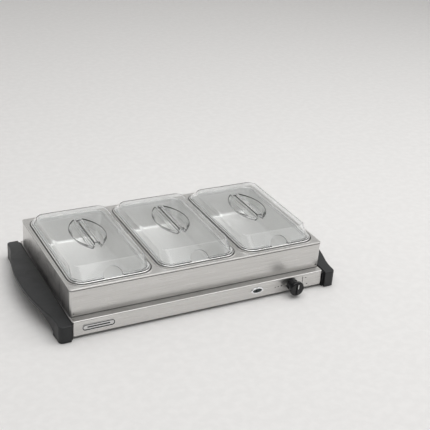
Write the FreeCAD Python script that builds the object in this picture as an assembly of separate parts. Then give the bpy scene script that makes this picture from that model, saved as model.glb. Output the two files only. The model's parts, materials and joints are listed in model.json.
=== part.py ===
import FreeCAD, Part
import math
import os
from FreeCAD import Vector

# Electric buffet server: a warming tray, a lift-off buffet frame, three pans and three clear lids.
# Millimetres. +X right, +Y back, +Z up. The pieces are modelled about the centre of the base, and
# save() then moves them back so that the origin lies on the table under the middle of the overall
# depth, which the knob extends at the front.

# ---------------------------------------------------------------- driving dimensions
BASE_LENGTH = 533.4          # 21 in warming tray
BASE_DEPTH = 330.2           # 13 in warming tray
BASE_BOTTOM_Z = 6.5
BASE_TOP_Z = 37.0
SHEET = 0.8                  # stainless sheet thickness
BASE_FLANGE = 9.0

FRAME_LENGTH = 532.0
FRAME_DEPTH = 297.0
FRAME_TOP_Z = 94.5
FRAME_HEM = 6.0
LIP_HEIGHT = 2.6             # rolled lip where the frame's top plate folds over its skirt
LIP_PROUD = 0.5

PAN_COUNT = 3
PAN_PITCH = 176.7
PAN_RIM_LENGTH = 276.0       # outer rim, front to back
PAN_RIM_WIDTH = 161.0
PAN_RIM_RADIUS = 27.0
PAN_RIM_Z = 97.0
PAN_MOUTH_WIDTH = 148.0
PAN_MOUTH_LENGTH = 263.0
PAN_FLOOR_WIDTH = 136.4
PAN_FLOOR_LENGTH = 251.4
PAN_FLOOR_Z = 39.0           # inside face of the pan's floor

LID_TOP_Z = 119.4
LID_WALL = 2.0
LID_FLANGE_Z = 98.6          # upper face of the lid's flange
LID_SKIRT_Z = 92.5
LID_TOP_WIDTH = 147.0
LID_TOP_LENGTH = 224.0
LID_FOOT_WIDTH = 150.0
LID_FOOT_LENGTH = 265.0
NOTCH_RADIUS = 19.0
GRIP_Y = 7.0                 # middle of the grip, a little behind the lid's own middle
WELL_INNER = 8.5             # straight side of each finger well, from the lid's centre line
WELL_OUTER = 34.5            # belly of each finger well
WELL_HALF_LENGTH = 60.0
WELL_DEPTH = 9.0
FIN_HALF_WIDTH = 6.0
FIN_RISE = 4.5

HANDLE_GAP = 3.7             # groove between the base's end and the handle's outer body
HANDLE_HALF_LENGTH = 172.0
HANDLE_END_WIDTH = 27.0
HANDLE_MID_WIDTH = 51.0
HANDLE_WAVE_HALF = 160.0
HANDLE_BULGE_SHARE = 0.77    # share of the wave that is the outward bulge
HANDLE_CROWN_Z = 40.5
HANDLE_END_Z = 34.5
HANDLE_LEG_Z = 1.0
HANDLE_PLATE = 6.0
HANDLE_WALL = 3.0
GRIP_ARCH_HALF = 140.0

KNOB_X = 194.5
KNOB_Z = 20.5
KNOB_RADIUS = 15.5
KNOB_NECK_RADIUS = 10.8
SHAFT_RADIUS = 3.0
LAMP_X = 114.6
LAMP_Z = 22.3
BADGE_X = -216.7
BADGE_Z = 20.9
GLAND_X = 185.0
GLAND_Z = 21.0
GLAND_BORE = 4.0

KNOB_DEPTH = 22.0
KNOB_STANDOFF = 1.9          # clear gap between the knob and the front panel
RIDGE_RISE = 2.4
POINTER_RISE = 0.5

FRONT_Y = -BASE_DEPTH / 2
BACK_Y = BASE_DEPTH / 2
SIDE_X = BASE_LENGTH / 2
INNER_FRONT_Y = FRONT_Y + SHEET
INNER_BACK_Y = BACK_Y - SHEET
KNOB_FRONT_Y = FRONT_Y - KNOB_STANDOFF - KNOB_DEPTH
ORIGIN_Y = (KNOB_FRONT_Y - RIDGE_RISE - POINTER_RISE + HANDLE_HALF_LENGTH) / 2

# ---------------------------------------------------------------- small builders


def save(name, shape):
    """Write one node as a STEP file."""
    if isinstance(shape, list):
        shape = shape[0] if len(shape) == 1 else Part.makeCompound(shape)
    elif shape.ShapeType == "Compound" and len(shape.Solids) == 1:
        shape = shape.Solids[0]
    shape = shape.translated(Vector(0, -ORIGIN_Y, 0))
    if not shape.isValid():
        print("not valid:", name)
    shape.exportStep("parts/%s.step" % name)
    print("%-20s solids %2d  volume %9.1f cm3" % (name, len(shape.Solids), shape.Volume / 1000))


def block(x0, x1, y0, y1, z0, z1):
    """Box between two corners."""
    return Part.makeBox(x1 - x0, y1 - y0, z1 - z0, Vector(x0, y0, z0))


def rod(radius, start, end):
    """Cylinder from one point to another."""
    path = end - start
    return Part.makeCylinder(radius, path.Length, start, path)


def round_wire(width, length, radius, z, cx=0.0, cy=0.0):
    """Rounded rectangle in a level plane; width runs along X, length along Y."""
    hx, hy = width / 2, length / 2
    diagonal = radius * math.sqrt(0.5)
    edges = []
    corners = [(1, -1), (1, 1), (-1, 1), (-1, -1)]
    for index, (sx, sy) in enumerate(corners):
        centre = Vector(cx + sx * (hx - radius), cy + sy * (hy - radius), z)
        first = Vector(centre.x, cy + sy * hy, z)
        second = Vector(cx + sx * hx, centre.y, z)
        if sx != sy:
            start, end = first, second
        else:
            start, end = second, first
        middle = centre + Vector(sx * diagonal, sy * diagonal, 0)
        if index:
            edges.append(Part.makeLine(previous, start))
        else:
            opening = start
        edges.append(Part.Arc(start, middle, end).toShape())
        previous = end
    edges.append(Part.makeLine(previous, opening))
    return Part.Wire(edges)


def round_block(width, length, radius, z0, z1, cx=0.0, cy=0.0):
    """Upright prism with a rounded rectangular plan."""
    face = Part.Face(round_wire(width, length, radius, z0, cx, cy))
    return face.extrude(Vector(0, 0, z1 - z0))


def tapered(lower, upper, cx=0.0):
    """Loft between two rounded rectangles, each (width, length, radius, z)."""
    return Part.makeLoft([round_wire(*lower, cx), round_wire(*upper, cx)], True, True)


def edges_at(shape, z, tolerance=0.01):
    """Edges that lie wholly in one level plane."""
    return [e for e in shape.Edges
            if abs(e.BoundBox.ZMin - z) < tolerance and abs(e.BoundBox.ZMax - z) < tolerance]


def tube(points, radius, bend):
    """Round wire along straight runs that are joined by tangent arcs."""
    edges = []
    start = points[0]
    for here, after in zip(points[1:-1], points[2:]):
        incoming = Vector(here - start).normalize()
        outgoing = Vector(after - here).normalize()
        turn = incoming.getAngle(outgoing)
        trim = bend * math.tan(turn / 2)
        arc_start = here - incoming * trim
        arc_end = here + outgoing * trim
        inward = Vector(outgoing - incoming).normalize()
        middle = here + inward * (bend / math.cos(turn / 2) - bend)
        edges.append(Part.makeLine(start, arc_start))
        edges.append(Part.Arc(arc_start, middle, arc_end).toShape())
        start = arc_end
    edges.append(Part.makeLine(start, points[-1]))
    path = Part.Wire(edges)
    direction = points[1] - points[0]
    section = Part.Wire(Part.makeCircle(radius, points[0], direction))
    return path.makePipeShell([section], True, False)


def screw(radius, length, head_radius, head_height, position, axis):
    """Pan-head screw: head outside, shank along the axis from the head's seat."""
    head = Part.makeCylinder(head_radius, head_height, position - axis * head_height, axis)
    shank = Part.makeCylinder(radius, length, position, axis)
    across = Vector(axis.z, axis.x, axis.y)
    slot_span = head_radius * 1.5
    slot_depth = head_height * 0.45
    slots = []
    for direction in (across, axis.cross(across)):
        side = axis.cross(direction)
        corner = position - axis * (head_height + 0.1) - direction * slot_span / 2 - side * 0.35
        outline = [corner, corner + direction * slot_span,
                   corner + direction * slot_span + side * 0.7, corner + side * 0.7, corner]
        slots.append(Part.Face(Part.makePolygon(outline)).extrude(axis * (slot_depth + 0.1)))
    head = head.cut(slots[0]).cut(slots[1])
    return head.fuse(shank)


def oval_wire(width, height, x, y, z):
    """Ellipse on a plane that faces the front; width along X, height along Z."""
    ellipse = Part.Ellipse(Vector(x + width / 2, y, z), Vector(x, y, z + height / 2), Vector(x, y, z))
    return Part.Wire(ellipse.toShape())


def oval(width, height, x, z, y0, y1):
    """Oval plug that runs from front y0 to back y1."""
    return Part.Face(oval_wire(width, height, x, y0, z)).extrude(Vector(0, y1 - y0, 0))


def upright_slot(length, height, radius, x, z, y0, y1):
    """Flat plate on the front panel with rounded ends; length along X."""
    flat = round_block(length, height, radius, 0, y1 - y0)
    flat.rotate(Vector(0, 0, 0), Vector(1, 0, 0), 90)
    flat.translate(Vector(x, y1, z))
    return flat


# ---------------------------------------------------------------- places that several pieces share
ALONG_Y = Vector(0, 1, 0)
UPWARD = Vector(0, 0, 1)
HANDLE_SCREW_PLACES = [(-110.0, 22.0), (110.0, 22.0)]
FOOT_PLACES = [(sx * 236.0, sy * 132.0) for sx in (-1, 1) for sy in (-1, 1)]
COVER_PLACES = [(sx * x, sy * 156.0) for x in (85.0, 250.0) for sx in (-1, 1) for sy in (-1, 1)]
THERMOSTAT_SCREW_X = (KNOB_X - 11.5, KNOB_X + 11.5)
STUD_PLACES = [(sx * 245.0, sy * 95.0) for sx in (-1, 1) for sy in (-1, 1)]
PAN_CENTRES = [(index - (PAN_COUNT - 1) / 2) * PAN_PITCH for index in range(PAN_COUNT)]
PAN_NAMES = ["left", "centre", "right"]
EARTH_SPOT = Vector(216.0, INNER_BACK_Y, 14.0)

COVER_TOP_Z = BASE_BOTTOM_Z
COVER_BOTTOM_Z = COVER_TOP_Z - SHEET
SPREADER_TOP_Z = BASE_TOP_Z - SHEET
SPREADER_Z = SPREADER_TOP_Z - 1.5
ELEMENT_RADIUS = 2.2
ELEMENT_Z = SPREADER_Z - ELEMENT_RADIUS
PAD_TOP_Z = ELEMENT_Z - ELEMENT_RADIUS - 0.2
PAD_Z = PAD_TOP_Z - 5.0
PLATE_Z = PAD_Z - SHEET

# ---------------------------------------------------------------- warming base


def make_tray_top():
    """Folded stainless shell: top plate, four aprons and the inward bottom flange."""
    corner = 4.0
    outer = round_block(BASE_LENGTH, BASE_DEPTH, corner, BASE_BOTTOM_Z, BASE_TOP_Z)
    outer = outer.makeFillet(2.0, edges_at(outer, BASE_TOP_Z))
    inner_top = BASE_TOP_Z - SHEET
    inner = round_block(BASE_LENGTH - 2 * SHEET, BASE_DEPTH - 2 * SHEET, corner - SHEET,
                        BASE_BOTTOM_Z + SHEET, inner_top)
    inner = inner.makeFillet(1.2, edges_at(inner, inner_top))
    mouth = round_block(BASE_LENGTH - 2 * (SHEET + BASE_FLANGE), BASE_DEPTH - 2 * (SHEET + BASE_FLANGE),
                        corner, BASE_BOTTOM_Z - 1, BASE_BOTTOM_Z + SHEET + 1)
    shell = outer.cut(inner).cut(mouth)
    shell = shell.cut(rod(4.5, Vector(KNOB_X, FRONT_Y - 1, KNOB_Z), Vector(KNOB_X, FRONT_Y + 2, KNOB_Z)))
    for x in THERMOSTAT_SCREW_X:
        shell = shell.cut(rod(1.5, Vector(x, FRONT_Y - 1, KNOB_Z), Vector(x, FRONT_Y + 2, KNOB_Z)))
    shell = shell.cut(oval(20.0, 8.0, LAMP_X, LAMP_Z, FRONT_Y - 1, FRONT_Y + 2))
    gland_hole = Vector(GLAND_X, BACK_Y - 2, GLAND_Z)
    shell = shell.cut(rod(7.0, gland_hole, gland_hole + 3 * ALONG_Y))
    shell = shell.cut(rod(1.5, EARTH_SPOT + Vector(0, -1, 0), EARTH_SPOT + Vector(0, 2, 0)))
    for side in (-1, 1):
        for y, z in HANDLE_SCREW_PLACES:
            inside = Vector(side * (SIDE_X - 2), y, z)
            shell = shell.cut(rod(2.0, inside, inside + Vector(3 * side, 0, 0)))
    for x, y in COVER_PLACES:
        shell = shell.cut(rod(1.5, Vector(x, y, BASE_BOTTOM_Z - 1), Vector(x, y, BASE_BOTTOM_Z + 2)))
    return shell


def make_bottom_cover():
    """Flat cover with two rows of vent slots and a pressed stiffening rim."""
    cover = round_block(525.0, 322.0, 6.0, COVER_BOTTOM_Z, COVER_TOP_Z)
    for row in (-60.0, 60.0):
        for index in range(6):
            x = -200.0 + 80.0 * index
            cover = cover.cut(round_block(46.0, 4.0, 1.9, COVER_BOTTOM_Z - 1, COVER_TOP_Z + 1, x, row))
    for x, y in COVER_PLACES:
        cover = cover.cut(rod(1.5, Vector(x, y, COVER_BOTTOM_Z - 1), Vector(x, y, COVER_TOP_Z + 1)))
    for x, y in FOOT_PLACES:
        cover = cover.cut(rod(2.0, Vector(x, y, COVER_BOTTOM_Z - 1), Vector(x, y, COVER_TOP_Z + 1)))
    return cover


def make_feet():
    """Four rubber feet, each with a countersunk well for its screw."""
    feet = []
    for x, y in FOOT_PLACES:
        foot = Part.makeCone(8.0, 9.5, COVER_BOTTOM_Z, Vector(x, y, 0))
        foot = foot.makeFillet(0.8, edges_at(foot, 0))
        foot = foot.cut(rod(4.2, Vector(x, y, -1), Vector(x, y, 3.2)))
        feet.append(foot.cut(rod(2.0, Vector(x, y, 3), Vector(x, y, COVER_BOTTOM_Z + 1))))
    return feet


def make_heating_element():
    """Serpentine heater with two straight tails to the right."""
    legs = 6
    pitch = 40.0
    reach = 200.0
    tail_x = 236.0
    first_y = -pitch * (legs - 1) / 2
    edges = []
    y = first_y
    x = tail_x
    for leg in range(legs):
        side = -1 if leg % 2 == 0 else 1
        turn_x = tail_x if leg == legs - 1 else side * reach
        edges.append(Part.makeLine(Vector(x, y, ELEMENT_Z), Vector(turn_x, y, ELEMENT_Z)))
        if leg < legs - 1:
            bend = Vector(turn_x + side * pitch / 2, y + pitch / 2, ELEMENT_Z)
            following = Vector(turn_x, y + pitch, ELEMENT_Z)
            edges.append(Part.Arc(Vector(turn_x, y, ELEMENT_Z), bend, following).toShape())
            x = turn_x
            y += pitch
    circle = Part.makeCircle(ELEMENT_RADIUS, Vector(tail_x, first_y, ELEMENT_Z), Vector(1, 0, 0))
    section = Part.Wire(circle)
    return Part.Wire(edges).makePipeShell([section], True, False)


def make_thermostat():
    """Thermostat box with its threaded neck, and the bracket behind the front panel."""
    neck_front = INNER_FRONT_Y + 1.2
    body_front = neck_front + 5.0
    body_back = body_front + 23.0
    body = block(KNOB_X - 17, KNOB_X + 17, body_front, body_back, KNOB_Z - 11, KNOB_Z + 11)
    body = body.makeFillet(1.5, body.Edges)
    neck = rod(5.0, Vector(KNOB_X, neck_front, KNOB_Z), Vector(KNOB_X, body_front + 1, KNOB_Z))
    bore = rod(SHAFT_RADIUS + 0.05, Vector(KNOB_X, neck_front - 1, KNOB_Z),
               Vector(KNOB_X, body_front + 9, KNOB_Z))
    tabs = []
    for x in (KNOB_X - 8, KNOB_X + 8):
        tabs.append(block(x - 3, x + 3, body_back - 1, body_back + 7, KNOB_Z - 0.4, KNOB_Z + 0.4))
    thermostat = body.fuse([neck] + tabs).cut(bore)
    bracket = upright_slot(42.0, 24.0, 3.0, KNOB_X, KNOB_Z, INNER_FRONT_Y, neck_front)
    bracket = bracket.cut(rod(4.5, Vector(KNOB_X, INNER_FRONT_Y - 1, KNOB_Z),
                              Vector(KNOB_X, neck_front + 1, KNOB_Z)))
    for x in THERMOSTAT_SCREW_X:
        bracket = bracket.cut(rod(1.5, Vector(x, INNER_FRONT_Y - 1, KNOB_Z),
                                  Vector(x, neck_front + 1, KNOB_Z)))
    return thermostat, bracket


def make_indicator():
    """Oval lens with its neck, chrome bezel, lamp and spring clip."""
    flange_y = FRONT_Y - 1.0
    lens = oval(20.0, 8.6, LAMP_X, LAMP_Z, flange_y - 1.4, FRONT_Y)
    lens = lens.makeFillet(1.0, [e for e in lens.Edges if e.BoundBox.YMax < flange_y - 1.3])
    neck = oval(18.6, 7.2, LAMP_X, LAMP_Z, FRONT_Y - 0.5, FRONT_Y + 7)
    pocket = rod(3.1, Vector(LAMP_X, FRONT_Y + 1, LAMP_Z), Vector(LAMP_X, FRONT_Y + 8, LAMP_Z))
    lens = lens.fuse(neck).cut(pocket)
    bezel = oval(28.0, 14.0, LAMP_X, LAMP_Z, flange_y - 0.8, FRONT_Y)
    bezel = bezel.makeFillet(0.8, [e for e in bezel.Edges if e.BoundBox.YMax < flange_y - 0.7])
    bezel = bezel.cut(oval(20.0, 8.6, LAMP_X, LAMP_Z, flange_y - 2, FRONT_Y + 1))
    lamp = rod(2.9, Vector(LAMP_X, FRONT_Y + 2, LAMP_Z), Vector(LAMP_X, FRONT_Y + 20, LAMP_Z))
    lamp = lamp.makeFillet(2.0, [e for e in lamp.Edges if e.BoundBox.YMax < FRONT_Y + 2.1])
    clip = upright_slot(28.0, 12.0, 2.0, LAMP_X, LAMP_Z, INNER_FRONT_Y, INNER_FRONT_Y + 0.6)
    clip = clip.cut(oval(18.6, 7.2, LAMP_X, LAMP_Z, FRONT_Y, FRONT_Y + 3))
    return lens, bezel, lamp, clip


def make_badge():
    """Plain pill-shaped badge with a raised border."""
    badge = upright_slot(64.0, 13.0, 6.4, BADGE_X, BADGE_Z, FRONT_Y - 0.9, FRONT_Y)
    recess = upright_slot(60.4, 9.4, 4.6, BADGE_X, BADGE_Z, FRONT_Y - 1.5, FRONT_Y - 0.5)
    return badge.cut(recess)


def make_gland():
    """Round cord inlet bush that snaps into the back wall."""
    collar = rod(10.0, Vector(GLAND_X, BACK_Y, GLAND_Z), Vector(GLAND_X, BACK_Y + 3.0, GLAND_Z))
    collar = collar.makeFillet(1.2, [e for e in collar.Edges if e.BoundBox.YMin > BACK_Y + 2.9])
    neck = rod(7.0, Vector(GLAND_X, BACK_Y + 1, GLAND_Z), Vector(GLAND_X, INNER_BACK_Y - 6, GLAND_Z))
    lock = rod(8.6, Vector(GLAND_X, INNER_BACK_Y, GLAND_Z), Vector(GLAND_X, INNER_BACK_Y - 2.5, GLAND_Z))
    bore = rod(GLAND_BORE, Vector(GLAND_X, BACK_Y + 4, GLAND_Z),
               Vector(GLAND_X, INNER_BACK_Y - 8, GLAND_Z))
    return collar.fuse([neck, lock]).cut(bore)


def make_terminal_block():
    """Two-way ceramic terminal block on the cover, with its four screws."""
    centre = Vector(140.0, 146.0, COVER_TOP_Z)
    body = block(centre.x - 17, centre.x + 17, centre.y - 9, centre.y + 9, COVER_TOP_Z, COVER_TOP_Z + 13)
    screws = []
    for sx in (-1, 1):
        for sy in (-1, 1):
            seat = Vector(centre.x + sx * 8, centre.y + sy * 4.5, COVER_TOP_Z + 12)
            body = body.cut(rod(2.6, seat - UPWARD * 4, seat + UPWARD * 2))
            screws.append(screw(1.5, 2.0, 2.4, 1.4, seat - UPWARD * 1.9, -UPWARD))
    body = body.cut(block(centre.x - 1, centre.x + 1, centre.y - 10, centre.y + 10,
                          COVER_TOP_Z + 7, COVER_TOP_Z + 14))
    return body, screws


# ---------------------------------------------------------------- handles


def handle_outline():
    """Plan of the right handle: outward bulge between two hollow curves, round outer corners."""
    drop = HANDLE_MID_WIDTH - HANDLE_END_WIDTH
    half_turn = math.atan(drop / HANDLE_WAVE_HALF)
    radii = HANDLE_WAVE_HALF / math.sin(2 * half_turn)
    bulge = HANDLE_BULGE_SHARE * radii
    hollow = radii - bulge
    inner_x = SIDE_X
    end_x = SIDE_X + HANDLE_END_WIDTH
    crest = Vector(SIDE_X + HANDLE_MID_WIDTH, 0, 0)
    bulge_centre = crest - Vector(bulge, 0, 0)
    turn = 2 * half_turn
    join = bulge_centre + Vector(math.cos(turn), -math.sin(turn), 0) * bulge
    hollow_centre = Vector(end_x + hollow, -HANDLE_WAVE_HALF, 0)
    hollow_mid = hollow_centre - Vector(math.cos(turn / 2), -math.sin(turn / 2), 0) * hollow
    hollow_end = Vector(end_x, -HANDLE_WAVE_HALF, 0)
    corner = 8.0
    tip = Vector(end_x, -HANDLE_HALF_LENGTH + corner, 0)
    inset = corner * (1 - math.sqrt(0.5))
    corner_mid = Vector(end_x - inset, -HANDLE_HALF_LENGTH + inset, 0)
    corner_end = Vector(end_x - corner, -HANDLE_HALF_LENGTH, 0)
    inner_end = Vector(inner_x, -HANDLE_HALF_LENGTH, 0)

    def flip(point):
        return Vector(point.x, -point.y, 0)

    edges = [
        Part.makeLine(flip(inner_end), inner_end),
        Part.makeLine(inner_end, corner_end),
        Part.Arc(corner_end, corner_mid, tip).toShape(),
        Part.makeLine(tip, hollow_end),
        Part.Arc(hollow_end, hollow_mid, join).toShape(),
        Part.Arc(join, crest, flip(join)).toShape(),
        Part.Arc(flip(join), flip(hollow_mid), flip(hollow_end)).toShape(),
        Part.makeLine(flip(hollow_end), flip(tip)),
        Part.Arc(flip(tip), flip(corner_mid), flip(corner_end)).toShape(),
        Part.makeLine(flip(corner_end), flip(inner_end)),
    ]
    return Part.Wire(edges)


def crown(top_z):
    """Large cylinder along X whose crest gives the handle's slightly arched top."""
    sag = HANDLE_CROWN_Z - HANDLE_END_Z
    radius = HANDLE_HALF_LENGTH ** 2 / (2 * sag)
    return rod(radius, Vector(SIDE_X - 20, 0, top_z - radius), Vector(SIDE_X + 80, 0, top_z - radius))


def grip_arch():
    """Finger opening under the handle, seen from the end: flat roof with long curved shoulders."""
    leg, foot, shoulder = GRIP_ARCH_HALF, 9.0, 92.0
    roof = HANDLE_CROWN_Z - HANDLE_PLATE - 1.5
    x0 = SIDE_X + 9.0
    points = [Vector(x0, -leg, -1), Vector(x0, -leg, foot), Vector(x0, -116, 24),
              Vector(x0, -shoulder, roof)]
    mirrored = [Vector(p.x, -p.y, p.z) for p in points]
    edges = [
        Part.makeLine(points[0], points[1]),
        Part.Arc(points[1], points[2], points[3]).toShape(),
        Part.makeLine(points[3], mirrored[3]),
        Part.Arc(mirrored[3], mirrored[2], mirrored[1]).toShape(),
        Part.makeLine(mirrored[1], mirrored[0]),
        Part.makeLine(mirrored[0], points[0]),
    ]
    return Part.Face(Part.Wire(edges)).extrude(Vector(80, 0, 0))


def make_right_handle():
    """Moulded handle: arched top plate, two legs, and a wall against the base's end."""
    outline = Part.Face(handle_outline())
    outline.translate(Vector(0, 0, HANDLE_LEG_Z))
    body = outline.extrude(Vector(0, 0, 60)).common(crown(HANDLE_CROWN_Z))
    top_edges = []
    for edge in body.Edges:
        box = edge.BoundBox
        if box.ZMin > HANDLE_END_Z - 1 and box.XMin > SIDE_X + 5 and box.YLength > 3:
            top_edges.append(edge)
    body = body.makeFillet(2.2, top_edges)
    body = body.cut(grip_arch())
    groove_depth = 6.0
    reveal = block(SIDE_X - 1, SIDE_X + HANDLE_GAP, -200, 200, BASE_TOP_Z - 4.0, 60)
    body = body.cut(reveal)
    for side in (-1, 1):
        y0, y1 = sorted((side * (HANDLE_HALF_LENGTH - groove_depth), side * 200))
        body = body.cut(block(SIDE_X - 1, SIDE_X + HANDLE_GAP, y0, y1, -1, 60))
        y0, y1 = sorted((side * (GRIP_ARCH_HALF + HANDLE_WALL),
                         side * (HANDLE_HALF_LENGTH - HANDLE_WALL - 1)))
        body = body.cut(block(SIDE_X + HANDLE_GAP + HANDLE_WALL, SIDE_X + HANDLE_END_WIDTH - HANDLE_WALL,
                              y0, y1, HANDLE_LEG_Z - 1, HANDLE_END_Z - HANDLE_WALL - 2))
    for y, z in HANDLE_SCREW_PLACES:
        body = body.cut(rod(2.0, Vector(SIDE_X - 1, y, z), Vector(SIDE_X + 8.0, y, z)))
    return body


# ---------------------------------------------------------------- control knob


def turned_profile(stations):
    """Closed half profile from (radius, y) stations, turned about the knob's axis."""
    points = [Vector(KNOB_X, y, KNOB_Z) + Vector(radius, 0, 0) for radius, y in stations]
    start = Vector(KNOB_X, stations[0][1], KNOB_Z)
    end = Vector(KNOB_X, stations[-1][1], KNOB_Z)
    outline = Part.makePolygon([start] + points + [end, start])
    return Part.Face(outline).revolve(Vector(KNOB_X, 0, KNOB_Z), ALONG_Y, 360)


def make_knob():
    """Gloss knob: skirt, narrow barrel, flared head with a grip ridge, hollow back with a boss."""
    back = FRONT_Y - KNOB_STANDOFF
    front = KNOB_FRONT_Y
    neck = KNOB_NECK_RADIUS
    body = turned_profile([
        (neck + 1.6, back), (neck + 1.6, back - 1.8), (neck, back - 3.2), (neck - 0.3, back - 9.5),
        (KNOB_RADIUS - 0.9, front + 6.8), (KNOB_RADIUS, front + 5.6), (KNOB_RADIUS, front + 2.2),
        (KNOB_RADIUS - 0.8, front + 0.8), (KNOB_RADIUS - 2.4, front)])
    crest = front - RIDGE_RISE
    reach = KNOB_RADIUS - 3.0
    ridge = block(KNOB_X - 2.8, KNOB_X + 2.8, crest, front + 1, KNOB_Z - reach, KNOB_Z + reach)
    ridge = ridge.makeFillet(1.6, [e for e in ridge.Edges if e.BoundBox.YMax < crest + 0.1])
    body = body.fuse(ridge)
    hollow = rod(neck - 2.4, Vector(KNOB_X, back + 1, KNOB_Z), Vector(KNOB_X, back - 14, KNOB_Z))
    boss = rod(5.2, Vector(KNOB_X, back + 1, KNOB_Z), Vector(KNOB_X, back - 14.5, KNOB_Z))
    body = body.cut(hollow.cut(boss))
    flat = SHAFT_RADIUS - 0.8
    bore = rod(SHAFT_RADIUS, Vector(KNOB_X, back + 1, KNOB_Z), Vector(KNOB_X, back - 16, KNOB_Z))
    key = block(KNOB_X - 4, KNOB_X + 4, back - 17, back + 2, KNOB_Z + flat, KNOB_Z + 5)
    body = body.cut(bore.cut(key))
    pointer = block(KNOB_X - 0.8, KNOB_X + 0.8, crest - POINTER_RISE, crest, KNOB_Z + 2, KNOB_Z + 11)
    clip_low = flat - 0.5
    clip = block(KNOB_X - 1.8, KNOB_X + 1.8, back - 12, back - 2, KNOB_Z + clip_low, KNOB_Z + flat)
    shaft = rod(SHAFT_RADIUS, Vector(KNOB_X, back - 16, KNOB_Z), Vector(KNOB_X, FRONT_Y + 14, KNOB_Z))
    shaft = shaft.cut(block(KNOB_X - 4, KNOB_X + 4, back - 17, back + 0.5, KNOB_Z + clip_low, KNOB_Z + 5))
    return body, pointer, clip, shaft


# ---------------------------------------------------------------- buffet frame, pans and lids


def make_buffet_frame():
    """Frame shell: skirt, top plate with three collared mouths, and a raised bead round each."""
    corner = 5.0
    outer = round_block(FRAME_LENGTH, FRAME_DEPTH, corner, BASE_TOP_Z, FRAME_TOP_Z)
    lip_bottom = FRAME_TOP_Z - LIP_HEIGHT
    lip = round_block(FRAME_LENGTH + 2 * LIP_PROUD, FRAME_DEPTH + 2 * LIP_PROUD, corner + LIP_PROUD,
                      lip_bottom, FRAME_TOP_Z)
    lip = lip.makeFillet(1.6, edges_at(lip, FRAME_TOP_Z))
    lip = lip.makeFillet(0.4, edges_at(lip, lip_bottom))
    outer = outer.cut(round_block(2 * FRAME_LENGTH, 2 * FRAME_DEPTH, corner,
                                  lip_bottom + 1, FRAME_TOP_Z + 1))
    outer = outer.fuse(lip)
    under = FRAME_TOP_Z - SHEET
    inner = round_block(FRAME_LENGTH - 2 * SHEET, FRAME_DEPTH - 2 * SHEET, corner - SHEET,
                        BASE_TOP_Z + SHEET, under)
    inner = inner.makeFillet(1.2, edges_at(inner, under))
    mouth = round_block(FRAME_LENGTH - 2 * (SHEET + FRAME_HEM), FRAME_DEPTH - 2 * (SHEET + FRAME_HEM), 3.0,
                        BASE_TOP_Z - 1, BASE_TOP_Z + SHEET + 1)
    shell = outer.cut(inner).cut(mouth)
    width, length, radius = 152.0, 267.0, 23.0
    bead_gap, bead_width, bead_height = 2.6, 2.6, 1.3
    bead_inner = (PAN_RIM_WIDTH + 2 * bead_gap, PAN_RIM_LENGTH + 2 * bead_gap, PAN_RIM_RADIUS + bead_gap)
    bead_outer = tuple(value + grow * bead_width for value, grow in zip(bead_inner, (2, 2, 1)))
    beads = []
    collars = []
    for cx in PAN_CENTRES:
        shell = shell.cut(round_block(width, length, radius, under - 20, FRAME_TOP_Z + 2, cx))
        bead = round_block(*bead_outer, under, FRAME_TOP_Z + bead_height, cx)
        bead = bead.cut(round_block(*bead_inner, under - 1, FRAME_TOP_Z + bead_height + 1, cx))
        beads.append(bead.makeFillet(0.9, edges_at(bead, FRAME_TOP_Z + bead_height)))
        collar = round_block(width + 2 * SHEET, length + 2 * SHEET, radius + SHEET,
                             FRAME_TOP_Z - 5.5, under + 0.4, cx)
        collars.append(collar.cut(round_block(width, length, radius, FRAME_TOP_Z - 8, FRAME_TOP_Z, cx)))
    shell = shell.fuse(beads + collars)
    vent_z = BASE_TOP_Z + 6.5
    vent_x = FRAME_LENGTH / 2 - 7.0
    for sx in (-1, 1):
        start = Vector(sx * vent_x, -FRAME_DEPTH, vent_z)
        shell = shell.cut(rod(1.5, start, start + ALONG_Y * 2 * FRAME_DEPTH))
    return shell.removeSplitter()


def make_pan(cx):
    """Deep stainless pan: tapered walls, flat rim and rolled edge."""
    outer_low = (PAN_FLOOR_WIDTH + 2 * SHEET, PAN_FLOOR_LENGTH + 2 * SHEET, 17.0, PAN_FLOOR_Z - SHEET)
    outer_high = (PAN_MOUTH_WIDTH + 2 * SHEET, PAN_MOUTH_LENGTH + 2 * SHEET, 21.8, PAN_RIM_Z - SHEET)
    inner_low = (PAN_FLOOR_WIDTH, PAN_FLOOR_LENGTH, 16.2, PAN_FLOOR_Z)
    inner_high = (PAN_MOUTH_WIDTH, PAN_MOUTH_LENGTH, 21.0, PAN_RIM_Z)
    outer = tapered(outer_low, outer_high, cx)
    outer = outer.makeFillet(6.0, edges_at(outer, outer_low[3]))
    inner = tapered(inner_low, inner_high, cx)
    inner = inner.makeFillet(5.2, edges_at(inner, PAN_FLOOR_Z))
    roll = round_block(PAN_RIM_WIDTH, PAN_RIM_LENGTH, PAN_RIM_RADIUS, FRAME_TOP_Z, PAN_RIM_Z, cx)
    roll = roll.makeFillet(1.1, edges_at(roll, PAN_RIM_Z))
    under = round_block(PAN_RIM_WIDTH - 4.0, PAN_RIM_LENGTH - 4.0, PAN_RIM_RADIUS - 2.0,
                        FRAME_TOP_Z - 1, PAN_RIM_Z - SHEET, cx)
    return roll.cut(under).fuse(outer).cut(inner).removeSplitter()


def well_wire(inner, outer, half_length, z, side, cx):
    """Half-moon in a level plane: straight towards the fin, bowed on the outside."""
    front = Vector(cx + side * inner, GRIP_Y - half_length, z)
    back = Vector(cx + side * inner, GRIP_Y + half_length, z)
    belly = Part.Arc(front, Vector(cx + side * outer, GRIP_Y, z), back).toShape()
    return Part.Wire([belly, Part.makeLine(back, front)])


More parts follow.
